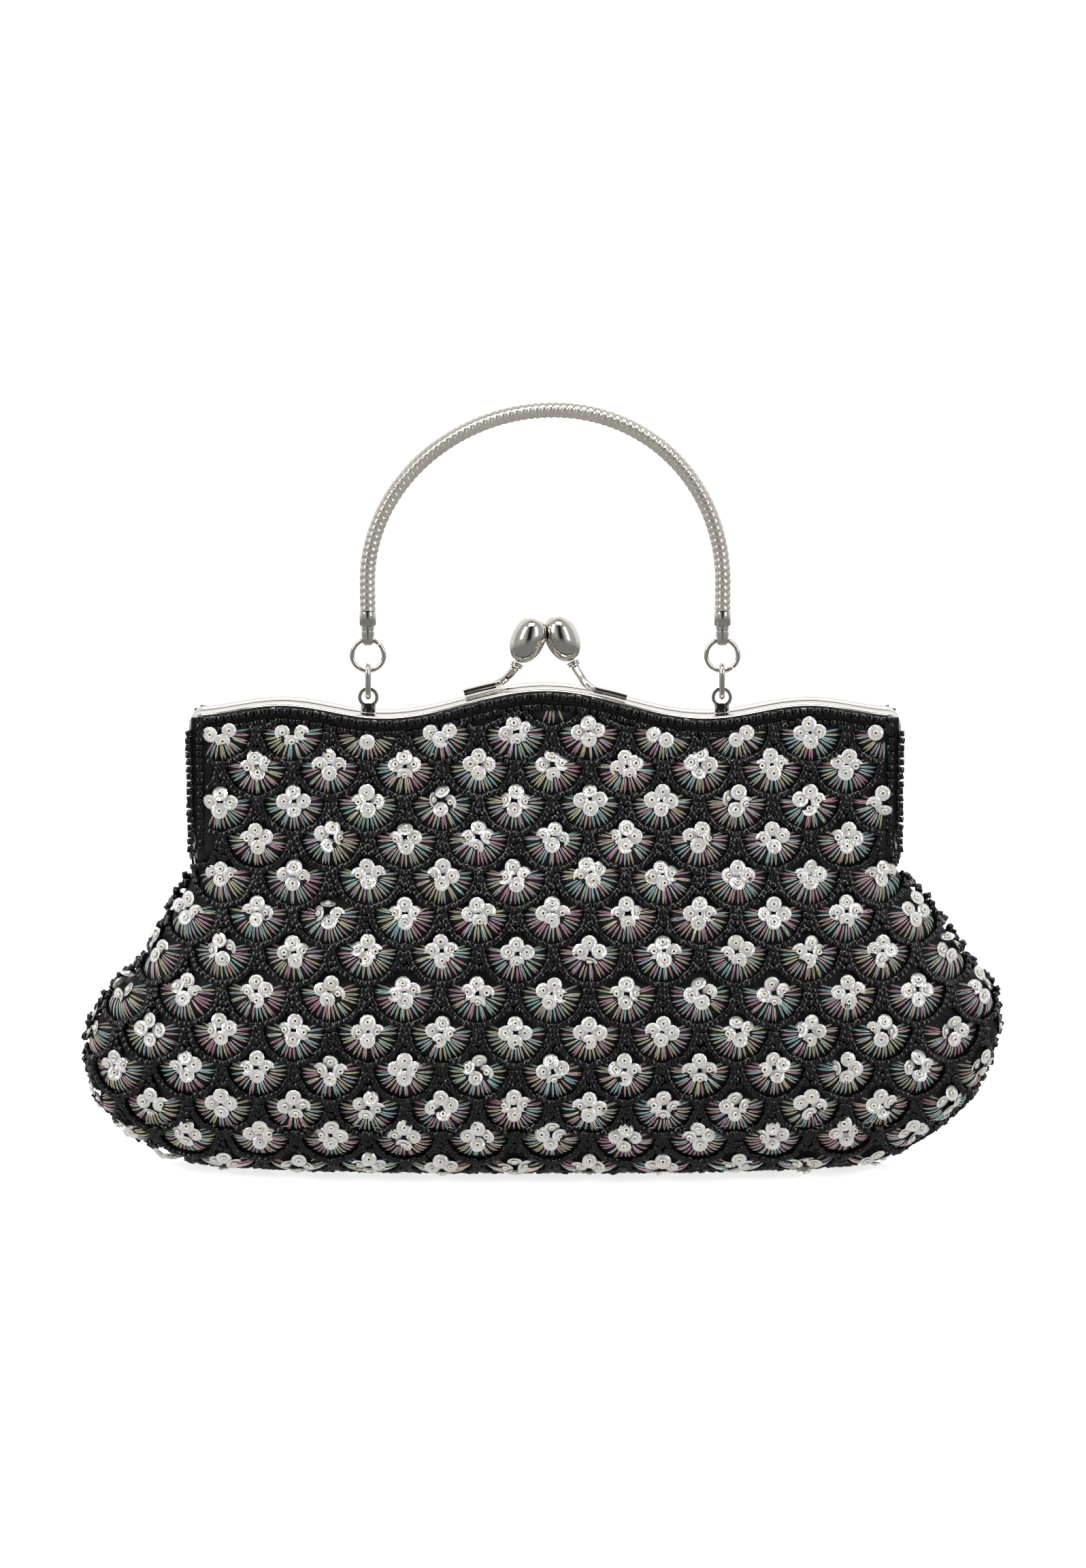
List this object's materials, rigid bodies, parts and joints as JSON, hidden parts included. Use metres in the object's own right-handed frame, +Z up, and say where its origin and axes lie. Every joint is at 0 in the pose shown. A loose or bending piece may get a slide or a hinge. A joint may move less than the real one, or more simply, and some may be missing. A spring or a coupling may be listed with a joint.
{
  "type": "evening bag",
  "caption": "Plump beaded evening bag with an undulating hinged kiss-lock frame and an arched snake-chain handle on ring links.",
  "frame": {"origin": "on the table, in the middle under the pouch, in the plane between the two frame halves", "axes": "+X along the frame towards the right lug, +Y towards the rear panel, +Z up towards the handle"},
  "size_m": [0.2634, 0.0574, 0.2268],
  "materials": {
    "nickel": "polished nickel plate",
    "chain_nickel": "nickel-plated snake chain",
    "embroidered_satin": "padded black satin with beads, sequins and metallic thread",
    "jet_bead": "polished opaque black glass",
    "satin_lining": "black satin",
    "paper_cord": "twisted paper"
  },
  "bodies": {
    "rear_frame_and_pouch": {"rear_frame": "nickel", "hinge_rivet_left": "nickel", "hinge_rivet_right": "nickel", "rear_channel_cord": "paper_cord", "rear_clasp_stem": "nickel", "rear_clasp_collar": "nickel", "rear_clasp_bead": "nickel", "lug_left": "nickel", "lug_right": "nickel", "rear_panel": "embroidered_satin", "front_lower_panel": "embroidered_satin", "rear_lining": "satin_lining", "front_lower_lining": "satin_lining", "rear_bead_border": "jet_bead", "seam_beads_left": "jet_bead", "seam_beads_right": "jet_bead"},
    "front_frame_half": {"front_frame": "nickel", "front_channel_cord": "paper_cord", "front_clasp_stem": "nickel", "front_clasp_collar": "nickel", "front_clasp_bead": "nickel", "front_upper_panel": "embroidered_satin", "front_upper_lining": "satin_lining", "front_bead_border": "jet_bead"},
    "link_right_body": {"link_right": "nickel"},
    "link_left_body": {"link_left": "nickel"},
    "ring_right_body": {"ring_right": "nickel"},
    "ring_left_body": {"ring_left": "nickel"},
    "handle": {"handle_chain": "chain_nickel", "handle_core_wire": "chain_nickel", "end_cap_left": "nickel", "end_cap_right": "nickel"}
  },
  "joints": [
    {"name": "frame_hinge", "type": "hinge", "parent": "rear_frame_and_pouch", "child": "front_frame_half", "pos_m": [0, 0, 0.094], "axis": [1, 0, 0], "range_deg": [0, 60]},
    {"name": "link_right_swing", "type": "hinge", "parent": "rear_frame_and_pouch", "child": "link_right_body", "pos_m": [0.051, 0, 0.14228], "axis": [1, 0, 0], "range_deg": [-60, 60]},
    {"name": "link_left_swing", "type": "hinge", "parent": "rear_frame_and_pouch", "child": "link_left_body", "pos_m": [-0.051, 0, 0.14228], "axis": [1, 0, 0], "range_deg": [-60, 60]},
    {"name": "ring_right_swing", "type": "hinge", "parent": "link_right_body", "child": "ring_right_body", "pos_m": [0.051, 0, 0.14755], "axis": [1, 0, 0], "range_deg": [-45, 30]},
    {"name": "ring_left_swing", "type": "hinge", "parent": "link_left_body", "child": "ring_left_body", "pos_m": [-0.051, 0, 0.14755], "axis": [1, 0, 0], "range_deg": [-45, 30]},
    {"name": "handle_swing", "type": "hinge", "parent": "ring_right_body", "child": "handle", "pos_m": [0.051, 0, 0.1567], "axis": [1, 0, 0], "range_deg": [-45, 30]}
  ],
  "couplings": [
    {"joint": "link_left_swing", "follows": "link_right_swing", "ratio": 1},
    {"joint": "ring_left_swing", "follows": "ring_right_swing", "ratio": 1}
  ]
}
